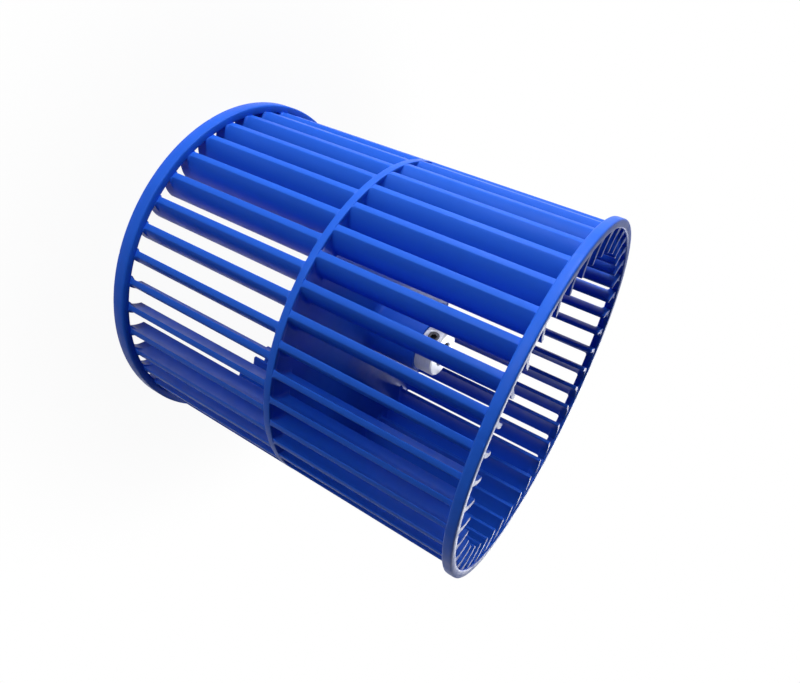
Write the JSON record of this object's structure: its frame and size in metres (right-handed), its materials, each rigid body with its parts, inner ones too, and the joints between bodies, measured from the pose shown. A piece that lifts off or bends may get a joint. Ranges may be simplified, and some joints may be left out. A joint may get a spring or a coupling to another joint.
{
  "type": "double inlet blower wheel",
  "caption": "Double-inlet drum blower wheel with staggered rows of forward-curved blades between end rings, a centre disc, and a metal-bushed hub with a set screw.",
  "frame": {"origin": "centre of the closed-side end ring's outer face, on the wheel's axis, where the wheel stands on its end", "axes": "+Z along the wheel's axis towards the end from which the hub and its set screw are reached"},
  "size_m": [0.15, 0.15, 0.1604],
  "materials": {
    "blue_plastic": "glossy moulded blue plastic",
    "bush_metal": "turned pale grey metal",
    "screw_steel": "dark oxide steel"
  },
  "bodies": {
    "root": {"impeller": "blue_plastic", "hub_bush": "bush_metal", "set_screw": "screw_steel"}
  },
  "joints": []
}
